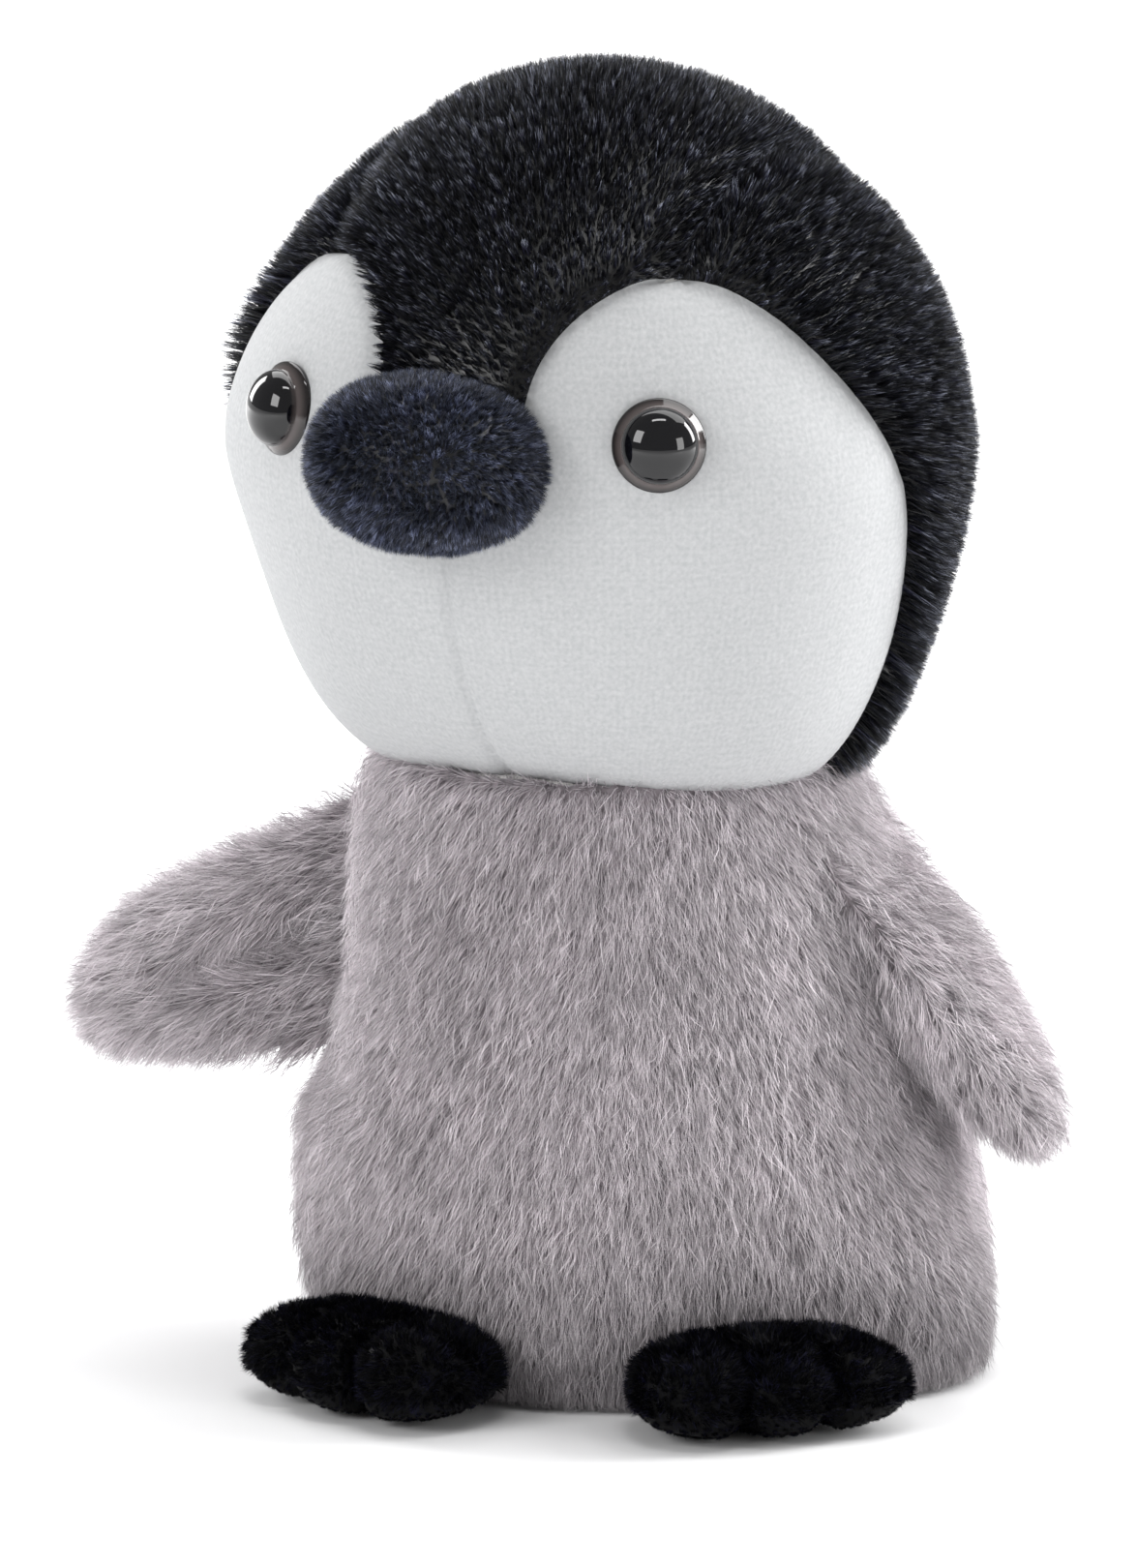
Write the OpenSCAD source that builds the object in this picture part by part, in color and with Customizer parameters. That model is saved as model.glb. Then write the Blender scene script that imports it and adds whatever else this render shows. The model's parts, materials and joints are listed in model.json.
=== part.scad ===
// Plush penguin chick, sitting height about 150 mm. Millimetres.
// The chick faces -Y, +Z is up, and the origin is the centre of the flat base it sits on.
// Every cloth cover is a thin shell on its own stuffing; the pile is not modelled here.

/* [Body] */

// radius of the flat base
base_r = 35.3; // [33:0.1:38]
// largest radius of the body
belly_r = 37.2; // [36:0.1:40]
// height of the largest radius
belly_z = 14.7; // [12:0.1:18]
// radius at the neck
neck_r = 26; // [25:0.1:28]
// height of the neck seam
neck_z = 70; // [68:0.1:72]
// forward lean of the body, degrees
lean_forward = 3.5; // [0:0.1:5]
// sideways lean of the body towards -X, degrees
lean_side = 2.1; // [0:0.1:3]

/* [Head] */

// radius of the head
head_r = 40.6; // [39:0.1:42]
// crown above the widest ring
crown_h = 42.2; // [40:0.1:44]
// chin below the widest ring
chin_h = 39; // [37:0.1:40]
// fullness of the chin: 2 is an ellipse, more is squarer
chin_fullness = 2.5; // [2.2:0.1:2.6]
// height of the widest ring above the base
head_z = 104.8; // [104:0.1:107]
// head centre forward of the base centre
head_forward = 6.3; // [4:0.1:8]
// head centre to the -X side of the base centre
head_side = 3.7; // [2:0.1:5]
// turn of the face towards -X at rest, degrees
head_turn = 13; // [0:1:20]
// half width of the crown gusset
gusset_half = 21; // [18:0.5:24]

/* [Face] */

// radius of the eye lobe of the white face
lobe_r = 14.3; // [13:0.1:15]
// lobe centre to the side of the middle
lobe_x = 23.3; // [22:0.1:24]
// lobe centre above the widest ring
lobe_z = 11.5; // [10:0.1:13]
// height below which the face spans the whole front
cheek_z = 8; // [6:0.5:10]
// back edge of the cheeks behind the head's middle
cheek_back = 0.4; // [0:0.1:2]
// front-to-back place of the lobe's outer corner
temple_front = -19.5; // [-22:0.5:-18]

/* [Beak] */

// half height of the beak
beak_r = 8.7; // [8:0.1:9.5]
// side centres of the beak from its middle
beak_half = 3.8; // [3:0.1:5]
// beak centre line above the widest ring
beak_z = 6.8; // [5:0.1:8]
// beak root centres forward of the head axis
beak_root = 39; // [38:0.5:41]
// beak tip centre forward of the head axis
beak_tip = 46; // [44:0.5:48]

/* [Eyes] */

// diameter of the eye dome
eye_d = 10; // [9:0.5:11]
// height of the eye dome
eye_h = 3.8; // [3:0.1:4.5]
// angle of the eye from the middle of the face
eye_angle = 37.1; // [34:0.1:40]
// eye centre above the widest ring
eye_z = 8.9; // [8:0.1:10]
// distance of the eye's back from the head axis
eye_reach = 39.55; // [39.4:0.05:40]
// upward tilt of the eye
eye_tilt = 11; // [8:0.5:14]
// length of the eye's post behind the cloth
post_l = 9; // [7:0.5:10]
// radius of the eye's post
post_r = 1.7; // [1.5:0.1:2]
// radius of the washer on the post
washer_r = 5.5; // [5:0.1:6]

/* [Wings] */

// length of a wing from its sewn line
wing_l = 36; // [32:0.5:38]
// half width of a wing at its sewn line
wing_root_half = 12; // [10:0.5:13]
// half thickness of a wing near its tip
wing_pad_r = 4.3; // [3.5:0.1:4.5]
// tip of the spread wing below its middle line
spread_droop = 17; // [12:1:18]
// tip of the hanging wing forward of its middle line
hang_sweep = 4.5; // [3:0.5:6]
// angle of the hanging wing below level
hang_angle = 56; // [50:1:57]

/* [Feet] */

// half thickness of a toe
toe_r = 4.7; // [4.2:0.1:5]
// side toe centre from the foot's middle line
toe_side = 8.3; // [8:0.1:9]
// side of the heel from the foot's middle line
heel_side = 7.2; // [6:0.1:8]
// side toe centre forward of the sewn line
toe_reach = 12.5; // [11:0.5:14]
// extra reach of the middle toe
toe_mid = 1.8; // [1:0.1:3]
// splay of each foot from straight ahead, degrees
foot_splay = 33.5; // [28:0.5:38]
// sewn line of a foot from the base centre
foot_r = 38.5; // [38.3:0.1:40]

/* [Cloth] */

// thickness of the cloth of the body and the head
cloth = 1.2; // [1:0.1:1.4]
// thickness of the cloth of the small stuffed pieces
thin_cloth = 1; // [0.8:0.1:1.1]

/* [Hidden] */

// which piece is drawn
fit_gap = 0.05;
turn_gap = 0.35;
steps = 22;
far = 80;
grey = [0.62, 0.58, 0.59];
black = [0.09, 0.09, 0.11];
white = [0.9, 0.9, 0.9];
wadding = [0.95, 0.94, 0.9];

// ---- body ----

// radius of the body at a height up its own axis
function body_radius(z) =
    z < belly_z
    ? base_r + (belly_r - base_r) * sin(90 * z / belly_z)
    : belly_r - (belly_r - neck_r) * pow((z - belly_z) / (neck_z - belly_z), 1.5);

// outline of the body, pulled in all round by inset
function body_outline(inset) =
    let (low = -6, high = neck_z + 2.5 - inset)
    concat([[0, low]],
        [for (i = [0 : steps])
            let (z = low + (high - low) * i / steps)
            [body_radius(max(z, 0)) - inset, z]],
        [[0, high]]);

// the body as a solid of revolution on its leaning axis
module body_solid(inset = 0) {
    rotate([lean_forward, -lean_side, 0])
        rotate_extrude($fn = 96)
            polygon(body_outline(inset));
}

// everything above the top of the base panel
module above_base() {
    translate([-far, -far, cloth + 0.01])
        cube([2 * far, 2 * far, 2 * far]);
}

// the whole body cover, open at the base and dished under the head
module body_cover() {
    intersection() {
        difference() {
            body_solid();
            body_solid(cloth);
            head_solid(-turn_gap);
        }
        above_base();
    }
}

// front half of the body cover, up to the two side seams
module body_front() {
    color(grey)
        intersection() {
            body_cover();
            translate([-far, -2 * far, 0])
                cube([2 * far, 2 * far, 2 * far]);
        }
}

// back half of the body cover
module body_back() {
    color(grey)
        intersection() {
            body_cover();
            translate([-far, 0, 0])
                cube([2 * far, 2 * far, 2 * far]);
        }
}

// round panel that closes the body below; its underside is the flat base
module base_panel() {
    color(grey)
        cylinder(h = cloth, r = base_r - 0.6, $fn = 96);
}

// stuffing of the body, hollowed for the pellet bag and dished under the head
module body_filling() {
    color(wadding)
        intersection() {
            difference() {
                body_solid(cloth + fit_gap);
                head_solid(-turn_gap);
                pellet_ball(fit_gap);
            }
            above_base();
        }
}

// flattened ball low in the body
function pellet_outline(grow) =
    [for (i = [0 : steps])
        let (t = -90 + 180 * i / steps)
        [(24 + grow) * cos(t), (8 + grow) * sin(t)]];

module pellet_ball(grow = 0) {
    translate([0, 0, cloth + 9])
        rotate_extrude($fn = 72)
            polygon(pellet_outline(grow));
}

// cloth bag of plastic pellets, the weight that keeps the chick upright
module pellet_bag() {
    color([0.85, 0.83, 0.78])
        pellet_ball();
}

// small blank label that stands out of the back of the base seam
module care_label() {
    label_w = 9;
    label_h = 11;
    label_t = 0.4;
    color(white)
        translate([-label_w / 2, belly_r + 0.4, 0.5])
            cube([label_w, label_t, label_h]);
}

// ---- head ----

// outline of the head, pulled in all round by inset: a rounder crown and a fuller chin
function head_outline(inset) =
    [for (i = [-steps : steps])
        let (t = 90 * i / steps,
            p = i < 0 ? chin_fullness : 1.85,
            h = (i < 0 ? chin_h : crown_h) - inset,
            s = i < 0 ? -1 : 1)
        [abs(i) == steps ? 0 : (head_r - inset) * pow(cos(t), 2 / p), s * h * pow(abs(sin(t)), 2 / p)]];

// the head in its own frame: centre of the widest ring, face towards -Y
module head_ball(inset = 0) {
    rotate_extrude($fn = 96)
        polygon(head_outline(inset));
}

// places a piece of the head on the body
module on_head() {
    translate([-head_side, -head_forward, head_z])
        rotate([0, 0, -head_turn])
            children();
}

module head_solid(inset = 0) {
    on_head()
        head_ball(inset);
}

// outline of the white face seen from the front: two eye lobes over full-width cheeks
module face_front() {
    union() {
        for (side = [-1, 1]) {
            translate([side * lobe_x, lobe_z])
                circle(r = lobe_r, $fn = 64);
            translate([side * (lobe_x + far / 2), lobe_z + lobe_r - 0.5 - far / 2])
                square([far, far], center = true);
        }
        translate([-far, -far])
            square([2 * far, far + cheek_z]);
    }
}

// outline of the white face seen from the side: it slopes back to the cheeks, then drops
module face_side() {
    polygon([[-far, -far], [cheek_back, -far], [cheek_back, -10], [temple_front, 26],
        [temple_front, far], [-far, far]]);
}

// front part of the head that the white face covers
module face_area() {
    intersection() {
        rotate([90, 0, 0])
            translate([0, 0, -far / 2])
                linear_extrude(3 * far / 2)
                    face_front();
        rotate([90, 0, 90])
            translate([0, 0, -far])
                linear_extrude(2 * far)
                    face_side();
    }
}

module head_cover() {
    difference() {
        head_ball();
        head_ball(cloth);
    }
}

// upright slab of the head between two distances from its middle
module slab(from, to) {
    translate([from, -far, -far])
        cube([to - from, 2 * far, 2 * far]);
}

// crown gusset, from the widow's peak behind the beak over the crown to the nape
module hood_crown() {
    color(black)
        on_head()
            difference() {
                intersection() {
                    head_cover();
                    slab(-gusset_half, gusset_half);
                }
                face_area();
            }
}

module hood_side() {
    difference() {
        intersection() {
            head_cover();
            slab(gusset_half, far);
        }
        face_area();
    }
}

// side and back of the hood, +X side
module hood_left() {
    color(black)
        on_head()
            hood_side();
}

// side and back of the hood, -X side
module hood_right() {
    color(black)
        on_head()
            mirror([1, 0, 0])
                hood_side();
}

module face_half() {
    difference() {
        intersection() {
            head_cover();
            slab(0, far);
            face_area();
        }
        at_eye()
            translate([0, 0, -cloth * 2])
                cylinder(h = cloth * 3, r = post_r + fit_gap, $fn = 32);
    }
}

// white half of the face on the +X side, with the hole for the eye's post
module face_left() {
    color(white)
        on_head()
            face_half();
}

// white half of the face on the -X side
module face_right() {
    color(white)
        on_head()
            mirror([1, 0, 0])
                face_half();
}

// stuffing of the head, hollowed round the eye posts and washers
module head_filling() {
    color(wadding)
        on_head()
            difference() {
                head_ball(cloth + fit_gap);
                eye_pocket();
                mirror([1, 0, 0])
                    eye_pocket();
            }
}

// ---- eyes ----

// frame of the +X eye: Z points out of the face
module at_eye() {
    rotate([0, 0, eye_angle])
        translate([0, -eye_reach, eye_z])
            rotate([90 - eye_tilt, 0, 0])
                children();
}

// moulded eye: a glossy dome with a post behind it
module eye_piece() {
    rim_r = eye_d / 2;
    ball_r = (rim_r * rim_r + eye_h * eye_h) / (2 * eye_h);
    at_eye()
        union() {
            intersection() {
                translate([0, 0, eye_h - ball_r])
                    sphere(r = ball_r, $fn = 64);
                cylinder(h = eye_h, r = rim_r, $fn = 64);
            }
            translate([0, 0, -post_l])
                cylinder(h = post_l, r = post_r, $fn = 32);
        }
}

// lock washer on the post, behind the face cloth
module washer() {
    back = 2.6;
    at_eye()
        translate([0, 0, -cloth - back])
            difference() {
                cylinder(h = 1.4, r = washer_r, $fn = 48);
                translate([0, 0, -1])
                    cylinder(h = 4, r = post_r + fit_gap, $fn = 32);
            }
}

// room in the stuffing for the post and the washer
module eye_pocket() {
    at_eye() {
        translate([0, 0, -cloth - 2.8])
            cylinder(h = cloth + 2.8, r = washer_r + 0.3, $fn = 48);
        translate([0, 0, -post_l - 0.3])
            cylinder(h = post_l, r = post_r + 0.3, $fn = 32);
    }
}

module eye_left() {
    color([0.03, 0.03, 0.04])
        on_head()
            eye_piece();
}

module eye_right() {
    color([0.03, 0.03, 0.04])
        on_head()
            mirror([1, 0, 0])
                eye_piece();
}

module eye_washer_left() {
    color([0.8, 0.8, 0.78])
        on_head()
            washer();
}

module eye_washer_right() {
    color([0.8, 0.8, 0.78])
        on_head()
            mirror([1, 0, 0])
                washer();
}

// ---- beak ----

// rounded bag that is wider than it is high
module beak_bag(inset = 0) {
    hull() {
        for (side = [-1, 1]) {
            translate([side * beak_half, -beak_root, beak_z])
                sphere(r = beak_r - inset, $fn = 28);
            translate([side * (beak_half - 1), -(beak_root + beak_tip) / 2 - 1, beak_z])
                sphere(r = beak_r - inset, $fn = 28);
        }
        translate([0, -beak_tip, beak_z])
            sphere(r = beak_r - inset, $fn = 28);
    }
}

// beak cover, open where it is sewn to the face
module beak_cover() {
    color([0.12, 0.13, 0.17])
        on_head()
            difference() {
                beak_bag();
                beak_bag(thin_cloth);
                head_ball(-fit_gap);
            }
}

// stuffing of the beak
module beak_filling() {
    color(wadding)
        on_head()
            difference() {
                beak_bag(thin_cloth + fit_gap);
                head_ball(-fit_gap);
            }
}

// ---- wings ----

// a flat stuffed wing: sewn line on Z, length along X, tip moved by shift along Z
module wing_pad(shift, inset = 0) {
    root_r = 2.2;
    mid_x = 13;
    mid_half = 8;
    tip_half = 3.2;
    hull() {
        for (side = [-1, 1]) {
            translate([root_r + 0.3, 0, side * (wing_root_half - root_r)])
                sphere(r = root_r - inset, $fn = 18);
            translate([mid_x, 0, shift * mid_x / wing_l + side * mid_half])
                sphere(r = wing_pad_r - inset, $fn = 20);
            translate([wing_l - wing_pad_r, 0, shift + side * tip_half])
                sphere(r = wing_pad_r - inset, $fn = 20);
        }
    }
}

// one of the two cloth pieces of a wing, on the +Y or the -Y side of its edge seam
module wing_half(shift, side) {
    intersection() {
        difference() {
            wing_pad(shift);
            wing_pad(shift, thin_cloth);
        }
        translate([-far, side > 0 ? 0 : -far, -far])
            cube([2 * far, far, 2 * far]);
    }
}

// the wing on the +X side hangs from a sewn line on the shoulder
module at_left_wing() {
    translate([28.9, -4, 60])
        rotate([0, hang_angle, 0])
            rotate([90, 0, 0])
                children();
}

// the wing on the -X side stands out from the side seam, a little back and down
module at_right_wing() {
    translate([-35, -2.9, 48])
        rotate([0, 12.7, 0])
            rotate([0, 0, 161])
                children();
}

module wing_left_outer() {
    color(grey)
        at_left_wing()
            wing_half(hang_sweep, 1);
}

module wing_left_inner() {
    color(grey)
        at_left_wing()
            wing_half(hang_sweep, -1);
}

module wing_left_filling() {
    color(wadding)
        at_left_wing()
            wing_pad(hang_sweep, thin_cloth);
}

module wing_right_outer() {
    color(grey)
        at_right_wing()
            wing_half(-spread_droop, -1);
}

module wing_right_inner() {
    color(grey)
        at_right_wing()
            wing_half(-spread_droop, 1);
}

module wing_right_filling() {
    color(wadding)
        at_right_wing()
            wing_pad(-spread_droop, thin_cloth);
}

// ---- feet ----

// three fat stuffed toes side by side, in front of the sewn line on X
module foot_pad(inset = 0) {
    heel_r = toe_r - 0.5;
    for (side = [-1, 0, 1])
        hull() {
            translate([side * heel_side, -heel_r - 0.3, toe_r])
                sphere(r = heel_r - inset, $fn = 18);
            translate([side * toe_side, -toe_reach - (side == 0 ? toe_mid : 0), toe_r])
                sphere(r = toe_r - inset, $fn = 18);
        }
}

module foot_shell(from, to) {
    intersection() {
        difference() {
            foot_pad();
            foot_pad(thin_cloth);
        }
        translate([-far, -far, from])
            cube([2 * far, 2 * far, to - from]);
    }
}

// places a foot on the body's front, splayed to its own side
module at_foot(side) {
    rotate([0, 0, side * foot_splay])
        translate([0, -foot_r, 0])
            children();
}

sole_top = 3.4;

module foot_left_upper() {
    color(black)
        at_foot(1)
            foot_shell(sole_top, far);
}

module foot_left_sole() {
    color(black)
        at_foot(1)
            foot_shell(-1, sole_top);
}

module foot_left_filling() {
    color(wadding)
        at_foot(1)
            foot_pad(thin_cloth + fit_gap);
}

module foot_right_upper() {
    color(black)
        at_foot(-1)
            foot_shell(sole_top, far);
}

module foot_right_sole() {
    color(black)
        at_foot(-1)
            foot_shell(-1, sole_top);
}

module foot_right_filling() {
    color(wadding)
        at_foot(-1)
            foot_pad(thin_cloth + fit_gap);
}

body_front();
body_back();
base_panel();
body_filling();
pellet_bag();
care_label();
head_filling();
hood_crown();
hood_left();
hood_right();
face_left();
face_right();
beak_cover();
beak_filling();
eye_left();
eye_right();
eye_washer_left();
eye_washer_right();
wing_left_outer();
wing_left_inner();
wing_left_filling();
wing_right_outer();
wing_right_inner();
wing_right_filling();
foot_left_upper();
foot_left_sole();
foot_left_filling();
foot_right_upper();
foot_right_sole();
foot_right_filling();
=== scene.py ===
import json
import math

import bmesh
import bpy
import numpy as np
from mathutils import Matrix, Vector, kdtree


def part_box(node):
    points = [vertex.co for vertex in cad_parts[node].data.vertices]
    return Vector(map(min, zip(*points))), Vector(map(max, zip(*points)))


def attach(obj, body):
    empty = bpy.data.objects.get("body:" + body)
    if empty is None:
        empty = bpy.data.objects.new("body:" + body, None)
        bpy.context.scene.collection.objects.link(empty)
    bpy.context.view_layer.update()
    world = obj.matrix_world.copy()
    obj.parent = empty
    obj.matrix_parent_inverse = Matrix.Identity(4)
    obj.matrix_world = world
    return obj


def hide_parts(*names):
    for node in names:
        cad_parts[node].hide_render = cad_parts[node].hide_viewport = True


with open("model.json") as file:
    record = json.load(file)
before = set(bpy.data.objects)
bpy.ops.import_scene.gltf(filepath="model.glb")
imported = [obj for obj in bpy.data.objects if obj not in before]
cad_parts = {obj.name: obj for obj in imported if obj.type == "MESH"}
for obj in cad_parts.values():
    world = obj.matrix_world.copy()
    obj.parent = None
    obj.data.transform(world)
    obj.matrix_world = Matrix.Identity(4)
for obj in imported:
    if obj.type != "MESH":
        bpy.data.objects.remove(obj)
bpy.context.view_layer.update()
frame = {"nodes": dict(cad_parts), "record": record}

# ---- Body cover ----
# A sack of long-pile grey plush, cut as a front and a back piece and sewn together at the
# two sides. The pile hangs down and stands out a little, so the sack looks soft all round.


def near_even_ball(level):
    """Points of a unit ball and the corner numbers of its near-even triangles."""
    bm = bmesh.new()
    bmesh.ops.create_icosphere(bm, subdivisions=level, radius=1.0)
    bm.verts.index_update()
    points = np.array([v.co[:] for v in bm.verts])
    corners = np.array([[v.index for v in f.verts] for f in bm.faces])
    bm.free()
    return points, corners


def unit(vectors):
    """The same directions, each with a length of one."""
    size = np.linalg.norm(vectors, axis=-1, keepdims=True)
    return vectors / np.maximum(size, 1e-12)


def drift(points, reach, seed):
    """Three slow, smooth values between about -1 and 1 at each point."""
    lot = np.random.default_rng(seed)
    total = np.zeros((len(points), 3))
    for _ in range(7):
        wave = lot.normal(size=(3, 3)) / reach
        total += np.sin(points @ wave + lot.uniform(0, 2 * np.pi, 3))
    return total / 3.2


def snip(points, corners, side):
    """Cuts a cloth along the line where side(points) is zero, and keeps where it is above."""
    value = side(points)
    value = np.where(np.abs(value) < 1e-7, 1e-7, value)
    kept = value[corners] > 0
    many = kept.sum(1)
    tips = corners[many == 1]
    turn = kept[many == 1].argmax(1)
    tips = np.stack([tips[np.arange(len(tips)), (turn + k) % 3] for k in range(3)], 1)
    ends = corners[many == 2]
    turn = (~kept[many == 2]).argmax(1)
    ends = np.stack([ends[np.arange(len(ends)), (turn + k) % 3] for k in range(3)], 1)
    inner = np.concatenate([tips[:, 0], tips[:, 0], ends[:, 1], ends[:, 2]])
    outer = np.concatenate([tips[:, 1], tips[:, 2], ends[:, 0], ends[:, 0]])
    key, place = np.unique(inner * len(points) + outer, return_inverse=True)
    near, beyond = key // len(points), key % len(points)
    share = (value[near] / (value[near] - value[beyond]))[:, None]
    edge = points[near] + (points[beyond] - points[near]) * share
    place = place.reshape(-1) + len(points)
    a, b = len(tips), len(ends)
    on_tip = place[:a], place[a:2 * a]
    on_end = place[2 * a:2 * a + b], place[2 * a + b:]
    pieces = [
        corners[many == 3],
        np.stack([tips[:, 0], on_tip[0], on_tip[1]], 1),
        np.stack([on_end[0], ends[:, 1], ends[:, 2]], 1),
        np.stack([on_end[0], ends[:, 2], on_end[1]], 1),
    ]
    cut = np.concatenate(pieces)
    used, packed = np.unique(cut, return_inverse=True)
    return np.concatenate([points, edge])[used], packed.reshape(-1, 3)


def facing(points, corners):
    """The outward direction of the cloth at each point."""
    a, b, c = (points[corners[:, k]] for k in range(3))
    across = np.cross(b - a, c - a)
    total = np.zeros_like(points)
    for k in range(3):
        np.add.at(total, corners[:, k], across)
    return unit(total)


def grow_pile(
    cloth, comb, seed, per_mm2, length, width, lean, clump=0.0, tufts=0.5, spread=0.25, joints=2
):
    """Fibres of a plush, rooted evenly over a cloth and laid over towards comb(points).

    length and width are in metres and lean is in degrees from upright; length and lean may be
    functions of the roots. clump draws fibres to the middle of their tuft, tufts is tufts for
    each square millimetre, spread is how far a fibre strays from the lay, in radians, and
    joints is 1 for straight fibres or 2 for bent ones.
    """
    lot = np.random.default_rng(seed)
    points, corners = cloth
    normals = facing(points, corners)
    a, b, c = (points[corners[:, k]] for k in range(3))
    area = np.linalg.norm(np.cross(b - a, c - a), axis=1) / 2
    count = int(area.sum() * 1e6 * per_mm2)
    pick = lot.choice(len(corners), count, p=area / area.sum())
    s = np.sqrt(lot.random(count))[:, None]
    t = lot.random(count)[:, None]
    weight = [1 - s, s * (1 - t), s * t]
    root = sum(points[corners[pick, k]] * weight[k] for k in range(3))
    up = unit(sum(normals[corners[pick, k]] * weight[k] for k in range(3)))
    flow = comb(root) + 0.1 * drift(root, 0.009, seed) + 0.1 * drift(root, 0.003, seed + 1)
    flow = unit(flow - up * (flow * up).sum(1, keepdims=True))
    across = np.cross(up, flow)
    swing = lot.normal(0, spread, (count, 1))
    flow = flow * np.cos(swing) + across * np.sin(swing)
    reach = (length(root)[:, None] if callable(length) else length) * lot.uniform(0.65, 1.1, (count, 1))
    reach = reach * (1 + 0.12 * drift(root, 0.006, seed + 2)[:, :1])
    tilt = np.radians(lean(root)[:, None] if callable(lean) else lean)
    tilt = tilt * lot.uniform(0.75, 1.2, (count, 1))
    first = up * np.cos(0.6 * tilt) + flow * np.sin(0.6 * tilt)
    second = up * np.cos(1.35 * tilt) + flow * np.sin(1.35 * tilt)
    pull = np.zeros_like(root)
    column = lot.integers(0, 256, count)
    if clump:
        heads = max(int(area.sum() * 1e6 * tufts), 4)
        tree = kdtree.KDTree(heads)
        for number in range(heads):
            tree.insert(root[number], number)
        tree.balance()
        nearest = np.array([tree.find(place)[1] for place in root])
        pull = (root[nearest] - root) * clump
        column = np.where(lot.random(count) < 0.5, nearest * 7 % 256, column)
    bend = drift(root, 0.0009, seed + 3) * 0.16 * reach
    roll = lot.normal(0, 0.8, (count, 1))
    edge = unit(np.cross(up, flow) * np.cos(roll) + up * np.sin(roll)) * width
    edge = edge * lot.uniform(0.7, 1.3, (count, 1))
    sunk = root - up * 0.0003
    middle = sunk + first * reach * 0.5 + pull * 0.35
    tip = middle + second * reach * 0.5 + pull * 0.65 + bend
    if joints == 1:
        tip = sunk + (first + second) * reach * 0.5 + pull + bend * 0.5
    middle[:, 2] = np.maximum(middle[:, 2], 0.0004)
    tip[:, 2] = np.maximum(tip[:, 2], 0.0002)
    column = (column[:, None] + np.array([[0.25, 0.75]])) / 256
    low, half, high = 0.67, 0.83, 0.99
    if joints == 1:
        places = np.stack([sunk - edge / 2, sunk + edge / 2, tip], 1)
        flat = [[column[:, 0], low], [column[:, 1], low], [column.mean(1), high]]
        faces = [np.arange(count * 3).reshape(-1, 3)]
    else:
        places = np.stack(
            [sunk - edge / 2, sunk + edge / 2, middle + edge * 0.42, middle - edge * 0.42, tip], 1
        )
        flat = [
            [column[:, 0], low], [column[:, 1], low],
            [column[:, 1], half], [column[:, 0], half], [column.mean(1), high],
        ]
        first_corner = np.arange(count)[:, None] * 5
        faces = [first_corner + [0, 1, 2, 3], first_corner + [3, 2, 4]]
    chart = np.stack([np.stack([u, np.full(count, v)], 1) for u, v in flat], 1)
    return places.reshape(-1, 3), faces, chart.reshape(-1, 2)


def lay_flat(points, core):
    """Spreads a piece that bulges away from core out flat: one place for each point."""
    middle = points.mean(0)
    normal = unit(middle - core)
    out = unit(points - middle + normal * np.ptp(points, axis=0).max() * 0.45)
    right = unit(np.cross(normal, [0.13, 0.21, 0.97]))
    above = np.cross(right, normal)
    fall = np.sqrt(2 / np.maximum(1.02 + out @ normal, 0.02))
    flat = np.stack([out @ right, out @ above], 1) * fall[:, None]
    flat = (flat - flat.min(0)) / np.ptp(flat, axis=0).max()
    return flat * 0.62 + 0.01


def sew(name, body, cloth, finish, core, pile=()):
    """Makes one piece from its cloth and its pile, and puts it in place of its CAD node."""
    points, corners = cloth
    places = [points]
    faces = [corners]
    charts = [lay_flat(points, core)]
    start = len(points)
    for fibres, ribbons, chart in pile:
        places.append(fibres)
        faces += [ribbon + start for ribbon in ribbons]
        charts.append(chart)
        start += len(fibres)
    chart = np.concatenate(charts)
    mesh = bpy.data.meshes.new(name)
    mesh.vertices.add(start)
    mesh.vertices.foreach_set("co", np.concatenate(places).astype(np.float32).ravel())
    loops = np.concatenate([face.ravel() for face in faces]).astype(np.int32)
    sizes = np.concatenate([np.full(len(face), face.shape[1]) for face in faces])
    mesh.loops.add(len(loops))
    mesh.loops.foreach_set("vertex_index", loops)
    mesh.polygons.add(len(sizes))
    mesh.polygons.foreach_set("loop_start", (np.cumsum(sizes) - sizes).astype(np.int32))
    mesh.polygons.foreach_set("use_smooth", np.ones(len(sizes), bool))
    layer = mesh.uv_layers.new(name="OFBake")
    layer.data.foreach_set("uv", chart[loops].astype(np.float32).ravel())
    mesh.update(calc_edges=True)
    mesh.validate()
    mesh.materials.append(finish)
    piece = bpy.data.objects.new(f"{name}_{finish.name}", mesh)
    bpy.context.scene.collection.objects.link(piece)
    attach(piece, body)
    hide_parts(name)


def new_finish(name, surface):
    """A finish whose surface shader holds the given plain values."""
    finish = bpy.data.materials.new(name)
    finish.use_nodes = True
    shader = finish.node_tree.nodes["Principled BSDF"]
    for key, value in surface.items():
        shader.inputs[key].default_value = value
    return finish, finish.node_tree, shader


def add_node(tree, kind, feeds, **settings):
    """Adds a shader node and gives its outputs; each feed is a socket to link or a plain value."""
    node = tree.nodes.new("ShaderNode" + kind)
    for key, value in settings.items():
        setattr(node, key, value)
    for key, value in feeds.items():
        if isinstance(value, bpy.types.NodeSocket):
            tree.links.new(value, node.inputs[key])
        else:
            node.inputs[key].default_value = value
    return node.outputs


def colour_run(tree, value, stops, blend="LINEAR"):
    """Colours along a value, from stops of place and colour in rising order."""
    node = tree.nodes.new("ShaderNodeValToRGB")
    run = node.color_ramp
    run.interpolation = blend
    for end in (0, -1):
        run.elements[end].position = stops[end][0]
        run.elements[end].color = (*stops[end][1], 1)
    for place, colour in stops[1:-1]:
        run.elements.new(place).color = (*colour, 1)
    tree.links.new(value, node.inputs["Fac"])
    return node.outputs["Color"]


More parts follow.
